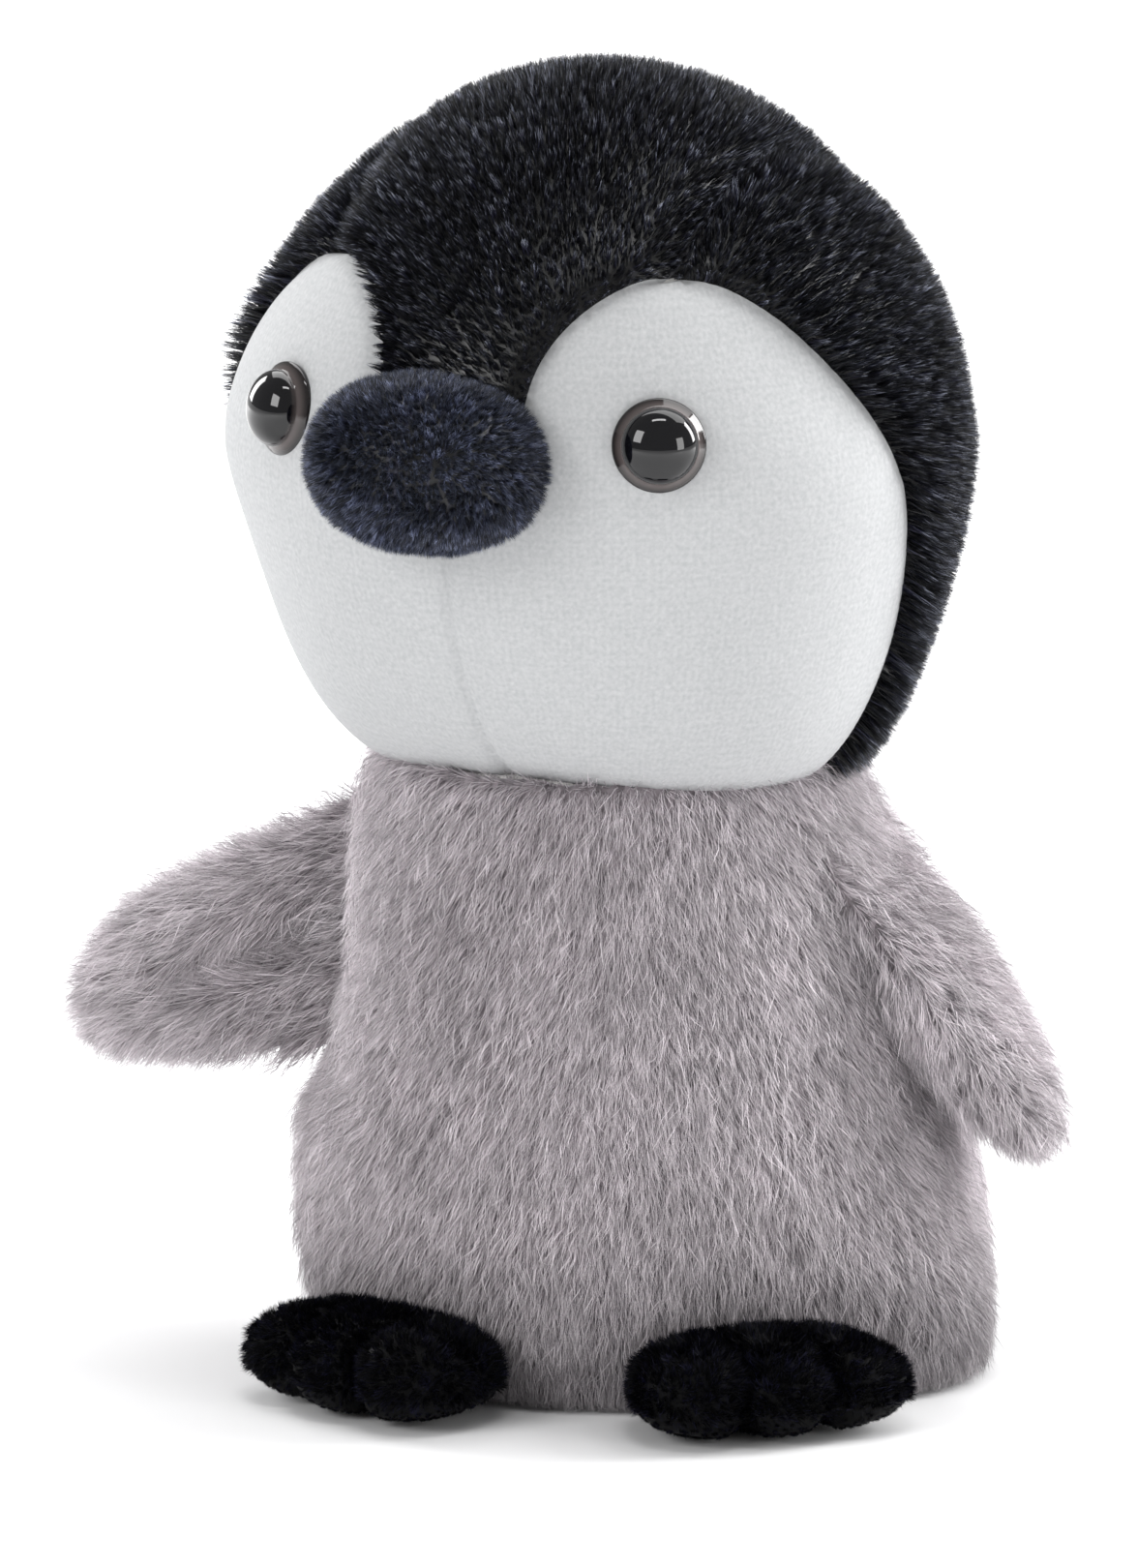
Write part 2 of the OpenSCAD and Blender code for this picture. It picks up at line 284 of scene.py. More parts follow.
def plush(name, colours, tones, sheen, sheen_tint, roughness=0.75, rare=1.0, gloss=0.3, low_shade=1.0, turn=0.5):
    """Pile: colours at the root, at turn and at the tip, and each fibre's own tone; on the black piles the
    pale tips and the few fibres of high tone are painted glints, and painted shade with some grime darkens
    the pile towards the floor.
    """
    surface = {
        "Roughness": roughness,
        "Specular IOR Level": gloss,
        "Sheen Weight": sheen,
        "Sheen Roughness": 0.45,
        "Sheen Tint": (*sheen_tint, 1),
    }
    finish, tree, shader = new_finish(name, surface)
    chart = add_node(tree, "UVMap", {}, uv_map="OFBake")["UV"]
    parts = add_node(tree, "SeparateXYZ", {0: chart})
    feeds = {"Value": parts["Y"], "From Min": 0.66, "From Max": 0.99}
    along = add_node(tree, "MapRange", feeds)["Result"]
    # Dye from root to tip; on the black piles the pale tip colour past turn is a painted glint.
    dye_and_glints = colour_run(tree, along, list(zip((0, turn, 1), colours)))
    column = add_node(tree, "Math", {0: parts["X"], 1: 256}, operation="MULTIPLY")[0]
    fibre = add_node(tree, "Math", {0: column}, operation="FLOOR")[0]
    lot = add_node(tree, "TexWhiteNoise", {"W": fibre}, noise_dimensions="1D")["Value"]
    # Raising the noise to the power rare leaves few fibres of high tone; on the black piles these are
    # painted glints.
    few = add_node(tree, "Math", {0: lot, 1: rare}, operation="POWER")[0]
    tone = add_node(tree, "MapRange", {"Value": few, "To Min": tones[0], "To Max": tones[1]})["Result"]
    place = add_node(tree, "TexCoord", {})["Object"]
    cloud = add_node(tree, "TexNoise", {"Vector": place, "Scale": 90, "Detail": 3})["Fac"]
    feeds = {"Value": cloud, "From Min": 0.3, "From Max": 0.7, "To Min": 0.9, "To Max": 1.1}
    patch = add_node(tree, "MapRange", feeds)["Result"]
    both = add_node(tree, "Math", {0: tone, 1: patch}, operation="MULTIPLY")[0]
    # Painted shade with some grime: the tone darkens over the lowest 22 mm towards the floor.
    height = add_node(tree, "SeparateXYZ", {0: place})["Z"]
    feeds = {"Value": height, "From Max": 0.022, "To Min": low_shade}
    floor_shade = add_node(tree, "MapRange", feeds, interpolation_type="SMOOTHSTEP")["Result"]
    floor_shaded = add_node(tree, "Math", {0: both, 1: floor_shade}, operation="MULTIPLY")[0]
    dyed_and_shaded = add_node(tree, "VectorMath", {0: dye_and_glints, "Scale": floor_shaded}, operation="SCALE")["Vector"]
    tree.links.new(dyed_and_shaded, shader.inputs["Base Color"])
    return finish


joints = {joint["name"]: joint for joint in frame["record"]["behaviour"]["joints"]}
body_core = np.array([0.0, 0.0, 0.045])
base_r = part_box("base_panel")[1].x + 0.0012
belly_r = 0.0380
belly_z = 0.0147
neck_r = 0.0266
neck_z = 0.070
neck_hole_r = 0.0215
base_seam_z = 0.0011
body_lean = np.array([-0.0366, -0.0612])
head_low, head_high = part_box("head_filling")
head_axis = np.array([(head_low.x + head_high.x) / 2, (head_low.y + head_high.y) / 2])


def body_outline():
    """The sack in profile, from the dish under the chin over the side to the middle of the base."""
    dish = [(neck_r * s, 0.0640 + 0.0062 * s ** 3) for s in np.linspace(0, 0.93, 12)]
    side = []
    for z in np.linspace(neck_z + 0.0012, 0.0026, 60):
        if z > belly_z:
            fall = ((z - belly_z) / (neck_z - belly_z)) ** 1.5
            side.append((belly_r - (belly_r - neck_r) * fall, z))
        else:
            side.append((base_r + (belly_r - base_r) * math.sin(math.pi / 2 * z / belly_z), z))
    seam_r = base_r - 0.0022
    turn = [
        (seam_r + 0.0024 * math.cos(a), 0.0024 - 0.0024 * math.sin(a))
        for a in np.linspace(0.2, math.pi / 2, 6)
    ]
    flat = [(seam_r * s, 0.0) for s in np.linspace(0.94, 0, 12)]
    return np.array(dish + side + turn + flat)


profile = body_outline()
profile_way = np.concatenate([[0], np.cumsum(np.linalg.norm(np.diff(profile, axis=0), axis=1))])


def body_skin(way, inset=0.0, lumps=0.0006):
    """Carries the directions of a ball to the sack's surface.

    The stuffing pushes out the low corner on one side, the spread wing's root tucks the other
    side in, the cloth swells a little all over, and the two side seams draw it in.
    """
    along = np.arccos(np.clip(way[:, 2], -1, 1)) / np.pi * profile_way[-1]
    r = np.interp(along, profile_way, profile[:, 0])
    z = np.interp(along, profile_way, profile[:, 1])
    round_z = unit(way[:, :2])
    points = np.concatenate([round_z * (r - inset).clip(0)[:, None], z[:, None]], 1)
    points[:, :2] += body_lean * z[:, None]
    bearing = np.degrees(np.arctan2(round_z[:, 0], -round_z[:, 1]))
    corner = np.exp(-(((bearing - 70) / 23) ** 2)) - 0.1 * np.exp(-(((bearing + 75) / 40) ** 2))
    low_down = 1 - np.clip(z / 0.034, 0, 1)
    corner = corner * low_down * low_down * (3 - 2 * low_down) * np.clip(r / belly_r, 0, 1)
    points[:, :2] += round_z * (corner * 0.0056)[:, None]
    tuck = np.exp(-(((bearing + 76) / 30) ** 2)) * np.clip((z - 0.027) / 0.007, 0, 1)
    tuck = tuck * np.clip((0.062 - z) / 0.016, 0, 1) * np.clip(r / neck_r - 0.6, 0, 0.4) / 0.4
    points[:, :2] -= round_z * (tuck * 0.0034)[:, None]
    swell = drift(points, 0.017, 5)[:, :1] * lumps
    swell = swell * np.clip(z / 0.006, 0, 1)[:, None]
    points[:, :2] += round_z * swell
    seam = np.exp(-((points[:, 1] / 0.0016) ** 2)) * 0.0005
    points[:, :2] -= round_z * seam[:, None]
    points[:, 2] = inset + (z * (1 - inset * 12) if inset else z)
    return points


ball_fine = near_even_ball(7)
ball_mid = near_even_ball(6)
ball_low = near_even_ball(5)
body_ball = body_skin(ball_mid[0]), ball_mid[1]
sack = snip(*body_ball, lambda p: p[:, 2] - base_seam_z)
sack = snip(*sack, lambda p: np.linalg.norm(p[:, :2] - p[:, 2:] * body_lean, axis=1) - neck_hole_r)
greys = (0.24, 0.21, 0.226), (0.68, 0.625, 0.658), (0.95, 0.895, 0.925)
# The grey pile gets painted shade with some grime near the floor: half its tone at the very bottom.
grey_plush = plush("grey_long_pile", greys, (0.50, 1.26), 0.55, (0.95, 0.93, 0.97), low_shade=0.5)


def hang(points):
    """Down the body, parting slightly from the middle of the belly."""
    out = unit(points * [1, 1, 0])
    return np.array([0, 0, -1.0]) + out * 0.03 + drift(points, 0.03, 11) * 0.08


for name, sign in (("body_front", -1), ("body_back", 1)):
    half = snip(*sack, lambda p: sign * p[:, 1])
    under = grow_pile(half, hang, 21 + sign, 17.5, 0.0038, 0.00011, 60, 0.3, 1.1, joints=1)
    over = grow_pile(half, hang, 24 + sign, 2.2, 0.0046, 0.00010, 62, clump=0.5)
    sew(name, "body", half, grey_plush, body_core, [under, over])

# ---- Base panel, stuffing, pellet bag and label ----
# A round piece of the same plush closes the sack. Inside are loose polyester wadding and a
# cloth bag of plastic pellets low down; a small blank tape label is caught in the back seam.

base = snip(*body_ball, lambda p: base_seam_z - p[:, 2])
sew("base_panel", "body", base, grey_plush, body_core)


def wadding_finish():
    """Loose white fibre: a cloudy off-white with a soft, uneven surface."""
    finish, tree, shader = new_finish("white_wadding", {"Roughness": 0.95})
    place = add_node(tree, "TexCoord", {})["Object"]
    cloud = add_node(tree, "TexNoise", {"Vector": place, "Scale": 260, "Detail": 6})["Fac"]
    colour = colour_run(tree, cloud, [(0, (0.78, 0.77, 0.73)), (1, (0.93, 0.92, 0.9))])
    tree.links.new(colour, shader.inputs["Base Color"])
    return finish


def woven_finish(name, dark, pale, scale):
    """Plain-woven cloth: two crossed sets of threads, seen as a fine check."""
    finish, tree, shader = new_finish(name, {"Roughness": 0.8})
    place = add_node(tree, "TexCoord", {})["Object"]
    feeds = {"Vector": place, "Scale": scale, "Distortion": 0.4}
    warp = add_node(tree, "TexWave", feeds, bands_direction="X")["Fac"]
    weft = add_node(tree, "TexWave", feeds, bands_direction="Z")["Fac"]
    check = add_node(tree, "Math", {0: warp, 1: weft}, operation="MULTIPLY")[0]
    colour = colour_run(tree, check, [(0, dark), (1, pale)])
    relief = add_node(tree, "Bump", {"Height": check, "Strength": 0.4, "Distance": 0.0001})
    tree.links.new(colour, shader.inputs["Base Color"])
    tree.links.new(relief["Normal"], shader.inputs["Normal"])
    return finish


wadding = wadding_finish()
stuffing = body_skin(ball_mid[0], inset=0.0016, lumps=0.0009), ball_mid[1]
sew("body_filling", "body", stuffing, wadding, body_core)

bag_low, bag_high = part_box("pellet_bag")
bag_half = np.array(bag_high - bag_low) / 2
bag_middle = np.array(bag_high + bag_low) / 2
bag = ball_mid[0] * bag_half * 0.97
bag = bag + ball_mid[0] * drift(bag, 0.004, 41)[:, :1] * 0.0005 + bag_middle
pellet_cloth = woven_finish("cotton", (0.6, 0.57, 0.5), (0.85, 0.83, 0.77), 900)
sew("pellet_bag", "body", (bag, ball_mid[1]), pellet_cloth, body_core)

label_low, label_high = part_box("care_label")
label_w = 0.0104
label_h = label_high.z - label_low.z
label_middle = (label_low.x + label_high.x) / 2
label_rows = 12
bm = bmesh.new()
for row in range(label_rows + 1):
    rise = row / label_rows
    y = label_low.y + 0.0012 * math.sin(rise * 2.4) ** 2 + 0.0026 * rise * rise
    for across in (-0.5, 0.5):
        bm.verts.new((label_middle + label_w * across, y, label_low.z + label_h * rise))
bm.verts.ensure_lookup_table()
for row in range(label_rows):
    bm.faces.new([bm.verts[row * 2 + k] for k in (1, 0, 2, 3)])
mesh = bpy.data.meshes.new("care_label")
bm.to_mesh(mesh)
bm.free()
label = bpy.data.objects.new("care_label_tape", mesh)
bpy.context.scene.collection.objects.link(label)
tape = label.modifiers.new("tape", "SOLIDIFY")
tape.thickness = 0.00035
tape.offset = 0
mesh.materials.append(woven_finish("blank_tape", (0.8, 0.8, 0.79), (0.95, 0.95, 0.94), 1400))
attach(label, "body")
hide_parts("care_label")

# ---- Wings ----
# Each wing is two pieces of the grey plush sewn round the edge, turned and lightly stuffed,
# then sewn to the side of the body by its short root. The pile is combed out to the tip.


def smooth_loop(knots, steps=14):
    """A smooth closed line through the given places."""
    knots = np.array(knots, float)
    line = []
    for number in range(len(knots)):
        a, b, c, d = (knots[(number + k) % len(knots)] for k in (-1, 0, 1, 2))
        for t in np.arange(steps) / steps:
            line.append(
                0.5 * (2 * b + (c - a) * t + (2 * a - 5 * b + 4 * c - d) * t * t
                       + (3 * b - a - 3 * c + d) * t ** 3)
            )
    return np.array(line)


def pillow(ball, knots, middle, half, thin=None, power=0.8, settle=None):
    """Carries a ball to a flat stuffed shape: its edge follows the knots in the X-Z plane."""
    line = smooth_loop(knots) - middle
    angle = np.arctan2(line[:, 1], line[:, 0])
    order = np.argsort(angle)
    size = np.linalg.norm(line, axis=1)[order]
    angle = angle[order]
    way = ball[0]
    flat = np.stack([way[:, 0], way[:, 2]], 1)
    out = np.hypot(flat[:, 0], flat[:, 1])
    turn = np.arctan2(flat[:, 1], flat[:, 0])
    reach = np.interp(turn, angle, size, period=2 * np.pi)
    spot = unit(flat) * (out ** 0.92 * reach)[:, None] + middle
    near, beyond = half if isinstance(half, tuple) else (half, half)
    thick = np.sign(way[:, 1]) * np.abs(way[:, 1]) ** power * np.where(way[:, 1] > 0, near, beyond)
    if thin is not None:
        thick = thick * thin(spot)
    if settle is not None:
        thick = thick + settle(spot)
    return np.stack([spot[:, 0], thick, spot[:, 1]], 1), ball[1]


def wing_knots(long, shift, chord, inset=0.0):
    """Edge of a wing: sewn root at X = 0, tip moved by shift along Z. Lengths in mm."""
    top = [(-3.2, 13.6), (9, 12.7), (21, 10.2), (29.8, 7.6), (34.4, 3.2)]
    low = [(x, -z - 0.5) for x, z in reversed(top)]
    ring = []
    for x, z in top + low:
        x = (18 + (x - 18) * (1 - inset / 18)) * long / 36
        ring.append((x / 1000, (z * chord * (1 - inset / 12) + shift * x / 36) / 1000))
    return ring


def wing_thin(spot):
    """A wing is sewn flat at its root and fills out along its first half."""
    return np.clip(0.2 + spot[:, 0] / 0.016, 0.2, 1.0)


def wing_core_thin(spot):
    """The stuffing stops just short of the sewn root."""
    return np.clip(spot[:, 0] / 0.014 - 0.05, 0.05, 1.0)


def carry(cloth, turn, start):
    """Turns a cloth from its own frame and moves it to start."""
    return cloth[0] @ turn + start, cloth[1]


def sew_wing(side, joint, reach, long, shift, chord, half_thick, outer_lie):
    """Sews one wing, its root on the joint's axis and its tip towards reach.

    long is its length and shift its tip's slant in mm, chord widens it, half_thick is the
    stuffed height of each face, and outer_lie is how far the outer face's pile lies over.
    """
    axis = np.array(joints[joint]["axis"], float)
    reach = np.array(reach)
    out = unit(reach - axis * (reach @ axis))
    turn = np.stack([out, np.cross(axis, out), axis])
    start = np.array(joints[joint]["pos_m"])
    core = start + out * 0.016
    body = "wing_" + side

    def settle(spot):
        """One wing bends towards the body at its root; the other has a fold under its shoulder."""
        if side == "left":
            return -0.0006 - 0.0024 * np.clip(1 - spot[:, 0] / 0.028, 0, 1)
        fold = spot[:, -1] + 0.75 * spot[:, 0]
        fade = np.clip((0.019 - spot[:, 0]) / 0.006, 0, 1) * np.clip(spot[:, 0] / 0.002, 0, 1)
        return -0.0034 * np.exp(-((fold / 0.0026) ** 2)) * fade

    def wing_pile(points):
        return 0.0028 + 0.0020 * np.clip((points - start) @ out / 0.014, 0, 1)

    def comb(points):
        local = (points - start) @ turn.T
        fan = np.zeros_like(local)
        fan[:, 0] = 1
        fan[:, 2] = local[:, 2] * 22 + shift / 40
        return fan @ turn + np.array([0, 0, -0.3])

    middle = np.array([0.016, shift * 16 / 36 / 1000])
    pad = pillow(ball_mid, wing_knots(long, shift, chord), middle, half_thick, wing_thin, settle=settle)
    for part, face in (("outer", 1), ("inner", -1)):
        way = face if side == "left" else -face
        half = carry(snip(*pad, lambda p: way * (p[:, 1] - settle(p))), turn, start)
        lie = outer_lie if part == "outer" else 46
        under = grow_pile(half, comb, 51 + 7 * face, 18, wing_pile, 0.00012, lie, 0.75, 0.6, joints=1)
        over = grow_pile(half, comb, 54 + 7 * face, 4.8, 0.0054, 0.00012, lie, 0.75, 0.4, 0.3)
        sew(f"{body}_{part}", body, half, grey_plush, core, [under, over])
    thinner = tuple(one - 0.0012 for one in half_thick)
    inside = pillow(
        ball_low, wing_knots(long, shift, chord, 2.0), middle, thinner, wing_core_thin, settle=settle
    )
    sew(f"{body}_filling", body, carry(inside, turn, start), wadding, core)


sew_wing("left", "wing_left_lift", (0.535, 0, -0.845), 38.0, 4.5, 0.92, (0.0027, 0.0060), 54)
sew_wing("right", "wing_right_swing", (-0.919, 0.333, 0.207), 31.0, -21.0, 1.0, (0.0047, 0.0042), 48)

# ---- Feet ----
# Two flat bags of near-black short plush, stuffed so that three toes bulge side by side,
# and sewn to the front of the body low down. The short pile is matted and curly.

# Painted highlights: the bluer tip colour, and the few fibres raised up to 8 times in tone, paint glints on
# the matted black curls.
foot_blacks_and_glints = (0.0003, 0.0003, 0.001), (0.0008, 0.0008, 0.0024), (0.0040, 0.0040, 0.0105)
foot_plush = plush(
    "black_short_pile", foot_blacks_and_glints, (0.15, 8.0), 0.0, (0.5, 0.55, 0.8), 0.6, 6.0, gloss=0.1, turn=0.65
)
toe_gap = 0.0048
sole_top = 0.0034


def foot_knots(wide, inset=0.0):
    """Edge of a foot seen from above: heel line near Z = 0, toes towards +Z. Lengths in mm."""
    half = [(0, 18.9), (3.6, 18.0), (4.8, 16.0), (7.2, 17.4), (11, 17.0), (14.4, 13.6), (14.2, 7.6)]
    half += [(11.6, 1.6), (4.5, 0.2)]
    ring = half + [(-x, z) for x, z in reversed(half[1:])]
    across, along = wide * (1 - inset / 13), 1 - inset / 10
    return [(x * across / 1000, (9 + (z - 9) * along) / 1000) for x, z in ring]


def toe_groove(spot):
    """Less thickness along the two lines between the toes, more so towards the tips."""
    deep = np.clip((spot[:, 1] - 0.004) / 0.012, 0, 1)
    line = np.exp(-(((np.abs(spot[:, 0]) - toe_gap) / 0.0014) ** 2))
    return 1 - 0.42 * deep * line


def sew_foot(side, wide, nearer):
    """Sews one foot: wide stretches it across, nearer moves it towards the other foot."""
    body = "foot_" + side
    start = np.array(joints[body + "_fold"]["pos_m"], float) + np.array([0, 0, 0.0002])
    forward = unit(start * [1, 1, 0])
    start[0] -= nearer * np.sign(start[0])
    turn = np.stack([np.array([-forward[1], forward[0], 0.0]), np.array([0, 0, 1.0]), forward])
    core = start + forward * 0.009
    middle = np.array([0, 0.0093])
    pad = carry(pillow(ball_mid, foot_knots(wide), middle, (0.0062, 0.0048), toe_groove, 0.7), turn, start)
    pad[0][:, 2] = np.maximum(pad[0][:, 2], 0.0007)

    def curl(points):
        return forward * 0.5 + drift(points, 0.0022, 61) * 1.3

    for part, face, long in (("upper", 1, 0.0018), ("sole", -1, 0.0007)):
        half = snip(*pad, lambda p: face * (p[:, 2] - sole_top))
        pile = grow_pile(half, curl, 65 + face, 30, long, 0.0002, 36, 0.9, 1.2, 0.9, joints=1)
        pile[0][:, 2] = np.maximum(pile[0][:, 2], 0.0001)
        sew(f"{body}_{part}", body, half, foot_plush, core, [pile])
    inside = carry(pillow(ball_low, foot_knots(wide, 1.1), middle, 0.0036, toe_groove, 0.7), turn, start)
    inside[0][:, 2] = np.maximum(inside[0][:, 2], 0.0015)
    sew(f"{body}_filling", body, inside, wadding, core)


sew_foot("left", 1.06, 0.0028)
sew_foot("right", 1.08, 0.0046)

# ---- Head: hood and face ----
# A firm ball under two fabrics. The hood is short black plush: a crown gusset that ends in a
# widow's peak, and a side piece on each side. The face is white velour in two halves, joined
# by a seam from under the beak to the chin, with a rounded lobe round each eye.

eye_left_low, eye_left_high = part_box("eye_washer_left")
eye_right_low, eye_right_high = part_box("eye_washer_right")
between = np.array(eye_left_low + eye_left_high - eye_right_low - eye_right_high)[:2]
head_right = np.array([*unit(between), 0.0])
head_front = np.array([head_right[1], -head_right[0], 0.0])
head_turn = np.stack([head_right, -head_front, np.array([0, 0, 1.0])])
head_r = 0.0406
crown_h = 0.0422
chin_h = 0.0390
crown_top = head_high.z + 0.00125
head_middle = np.array([*head_axis, crown_top - crown_h])
gusset_half = 0.021


def head_skin(way, inset=0.0):
    """Carries the directions of a ball to the head, in the head's own frame."""
    rise = way[:, 2]
    level = np.hypot(way[:, 0], way[:, 1])
    round_z = unit(way[:, :2])
    bearing = np.degrees(np.arccos(np.clip(-round_z[:, 1], -1, 1)))
    nape = np.clip((bearing - 72) / 38, 0, 1)
    z = np.where(rise > 0, (crown_h - inset) * np.abs(rise) ** 1.07, 0)
    r = (head_r - inset) * level ** 1.07
    low = 2 * np.arcsin(np.clip(-rise, 0, 1)) / np.pi
    drop = np.sin(low * np.pi / 2) ** 0.9
    narrow = (1 - np.clip(drop, 0, 1) ** 1.35).clip(0) ** (0.2 + 0.09 * np.exp(-((bearing / 40) ** 2)))
    neck = (0.0305 - inset) * nape * (1 - np.clip(drop, 0, 1) ** 16).clip(0) ** 0.3
    collar = (narrow * (head_r - inset) * 1000).clip(0) ** 20 + (neck * 1000) ** 20
    r = np.where(rise > 0, r, collar ** (1 / 20) / 1000)
    front = np.exp(-((bearing / 62) ** 4))
    z = np.where(rise > 0, z, -(chin_h - inset - 0.0014 * front) * drop)
    cheek = np.exp(-(((bearing - 63) / 22) ** 2)) * np.exp(-(((z - 0.003) / 0.012) ** 2))
    r = r * (1 + 0.048 * cheek)
    return np.concatenate([round_z * r[:, None], z[:, None]], 1)


def soft_least(a, b, blend):
    """The lesser of two distances, with the corner between them rounded."""
    h = np.clip(0.5 + 0.5 * (b - a) / blend, 0, 1)
    return b + (a - b) * h - blend * h * (1 - h)


def face_side(p):
    """Distance inside the white face: above zero on the velour, below on the hood."""
    x, y, z = np.abs(p[:, 0]), p[:, 1], p[:, 2]
    lobe = np.hypot(x - 0.0233, (z - 0.0115)) - 0.0143
    temple = np.maximum(0.0233 - x, z - 0.0253)
    cheek = z - 0.0085
    front = soft_least(soft_least(lobe, temple, 0.002), cheek, 0.004)
    slope = (y + 0.0195 + 0.0018 * (p[:, 0] < 0)) * 0.877 + (z - 0.026) * 0.481
    drop = y - 0.0006
    back = -soft_least(-slope, -drop, 0.006)
    return soft_least(-front, -back, 0.007)


def crease(p):
    """How far the cloth is drawn in along the seams."""
    dent = 0.0007 * np.exp(-((face_side(p) / 0.0013) ** 2))
    chin = np.exp(-((p[:, 0] / 0.0008) ** 2)) * (face_side(p) > 0)
    top = np.exp(-(((np.abs(p[:, 0]) - gusset_half) / 0.0021) ** 2)) * (face_side(p) < 0)
    return dent + 0.0006 * chin + 0.0012 * top


head_points = head_skin(ball_fine[0])
head_out = facing(head_points, ball_fine[1])
swell = drift(head_points, 0.016, 71)[:, :1] * 0.00035
head_points = head_points + head_out * (swell - crease(head_points)[:, None])
head_ball = head_points, ball_fine[1]


def to_head(cloth):
    """From the head's own frame to its place on the body."""
    return carry(cloth, head_turn, head_middle)


# Painted glints: the pale tip colour, and the few fibres raised up to 20 times in tone, paint bright
# highlights on the black hood pile.
hood_blacks_and_glints = (0.0005, 0.0005, 0.0012), (0.0026, 0.0027, 0.0052), (0.060, 0.064, 0.078)
hood_plush = plush(
    "black_hood_pile", hood_blacks_and_glints, (0.06, 20.0), 0.05, (0.7, 0.78, 1.0), 0.38, 7.0, gloss=0.6, turn=0.66
)


def comb_back(points):
    """Back over the crown; down and back on the two sides."""
    local = (points - head_middle) @ head_turn.T
    aside = np.clip((np.abs(local[:, 0]) - gusset_half) / 0.002, -1, 1) * 0.5 + 0.5
    flow = np.stack([local[:, 0] * 9, 0.75 - 0.45 * aside, -0.3 - 0.7 * aside], 1)
    return flow @ head_turn + drift(points, 0.02, 73) * 0.35


def hood_length(points):
    """Tufts stand a little longer beside the temples."""
    local = (points - head_middle) @ head_turn.T
    beside = np.clip(np.abs(local[:, 0]) / 0.006 - 4.6, 0, 1)
    temple = np.exp(-((face_side(local) / 0.005) ** 2)) * beside
    return 0.0026 + 0.0016 * temple


def hood_lean(points):
    """Upright along the face seam, lying over farther from it."""
    local = (points - head_middle) @ head_turn.T
    return 4 + 7 * np.clip(-face_side(local) / 0.008, 0, 1)


hood = snip(*head_ball, lambda p: -face_side(p))
hood_parts = {
    "hood_crown": lambda p: gusset_half - np.abs(p[:, 0]),
    "hood_left": lambda p: p[:, 0] - gusset_half,
    "hood_right": lambda p: -p[:, 0] - gusset_half,
}
for number, (name, side) in enumerate(hood_parts.items()):
    part = to_head(snip(*hood, side))
    pile = grow_pile(
        part, comb_back, 81 + number, 26, hood_length, 0.00018, hood_lean, 0.8, 1.8, 0.9, joints=1
    )
    sew(name, "head", part, hood_plush, head_middle, [pile])


def velour_finish():
    """Brushed white knit: fine upright ribs crossed by rows of loops, slightly cloudy."""
    surface = {"Roughness": 0.9, "Sheen Weight": 0.08, "Specular IOR Level": 0.15}
    finish, tree, shader = new_finish("brushed_velour", surface)
    place = add_node(tree, "TexCoord", {})["Object"]
    local = add_node(tree, "VectorMath", {0: place, 1: head_middle}, operation="SUBTRACT")["Vector"]
    parts = add_node(tree, "SeparateXYZ", {0: local})
    bearing = add_node(tree, "Math", {0: parts["X"], 1: parts["Y"]}, operation="ARCTAN2")[0]
    round_way = add_node(tree, "Math", {0: bearing, 1: 0.038}, operation="MULTIPLY")[0]
    knit = add_node(tree, "CombineXYZ", {"X": round_way, "Z": parts["Z"]})[0]
    feeds = {"Vector": knit, "Distortion": 7, "Detail": 3, "Detail Scale": 2.5, "Detail Roughness": 0.6}
    ribs = add_node(tree, "TexWave", feeds | {"Scale": 360}, bands_direction="X")["Fac"]
    rows = add_node(tree, "TexWave", feeds | {"Scale": 330}, bands_direction="Z")["Fac"]
    loops = add_node(tree, "Math", {0: ribs, 1: rows}, operation="ADD")[0]
    fuzz = add_node(tree, "TexNoise", {"Vector": place, "Scale": 2000, "Detail": 4})["Fac"]
    height = add_node(tree, "Math", {0: loops, 1: 0.11, 2: fuzz}, operation="MULTIPLY_ADD")[0]
    colour = colour_run(tree, height, [(0.35, (0.425, 0.434, 0.442)), (1, (0.55, 0.555, 0.56))])
    relief = add_node(tree, "Bump", {"Height": height, "Strength": 0.3, "Distance": 0.0001})
    tree.links.new(colour, shader.inputs["Base Color"])
    tree.links.new(relief["Normal"], shader.inputs["Normal"])
    return finish


velour = velour_finish()
face = snip(*head_ball, face_side)
for number, (name, sign) in enumerate((("face_left", 1), ("face_right", -1))):
    half = to_head(snip(*face, lambda p: sign * p[:, 0]))
    nap = grow_pile(
        half, lambda p: np.array([[0, 0, -1.0]]), 91 + number, 14, 0.0005, 0.00010, 50, spread=1.2, joints=1
    )
    sew(name, "head", half, velour, head_middle, [nap])
head_stuffing = to_head((head_skin(ball_mid[0], inset=0.0019), ball_mid[1]))
sew("head_filling", "head", head_stuffing, wadding, head_middle)

# ---- Beak ----
# A small firm bag of very dark blue-black short plush, wider than it is high, sewn by its
# open edge to the middle of the face under the widow's peak.

beak_low, beak_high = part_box("beak_cover")
beak_half = np.array([0.0127, 0.0125, 0.0093])
beak_middle = np.array([0.0, -0.0424, (beak_low.z + beak_high.z) / 2 - head_middle[2] - 0.0012])


def beak_skin(ball, inset=0.0):
    """Carries a ball to the beak, a little boxy and drooping at its tip."""
    way = ball[0]
    full = np.sign(way) * np.abs(way) ** 0.93
    points = full * (beak_half - inset)
    points[:, 2] += -0.10 * (points[:, 1] + 0.002)
    return points + beak_middle, ball[1]


def out_of_head(p):
    """Above zero outside the head's surface, less the little that the beak is sunk in it."""
    level = np.linalg.norm(p[:, :2], axis=1) / head_r
    return ((np.abs(p[:, 2]) / crown_h) ** 1.87 + level ** 1.87 - 1) * head_r + 0.0004


